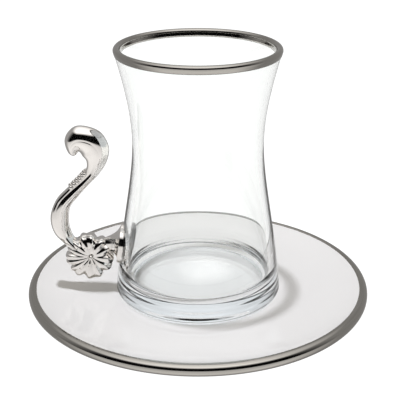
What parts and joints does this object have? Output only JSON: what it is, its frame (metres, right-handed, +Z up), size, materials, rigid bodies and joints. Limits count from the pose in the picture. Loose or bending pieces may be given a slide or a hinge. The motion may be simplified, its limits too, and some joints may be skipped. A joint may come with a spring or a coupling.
{
  "type": "tea glass with handle and saucer",
  "caption": "Slim-waisted clear tea glass with a metal lip band and a cast scroll handle with a rosette, on a white porcelain saucer with a metal rim band; it holds hot tea.",
  "frame": {"origin": "centre of the saucer's foot ring, on the surface it stands on", "axes": "+Z up along the glass's axis; the handle points along -X, and the picture's camera looks along +Y"},
  "size_m": [0.1296, 0.1296, 0.1033],
  "materials": {
    "porcelain": "white glazed porcelain, glossy",
    "band_metal": "fired platinum lustre, satin grey",
    "clear_glass": "clear soda-lime glass, polished",
    "plated_casting": "silver-plated zinc casting, bright"
  },
  "bodies": {
    "root": {"saucer": "porcelain", "saucer_band": "band_metal", "glass": "clear_glass", "lip_band": "band_metal", "handle": "plated_casting"}
  },
  "joints": []
}
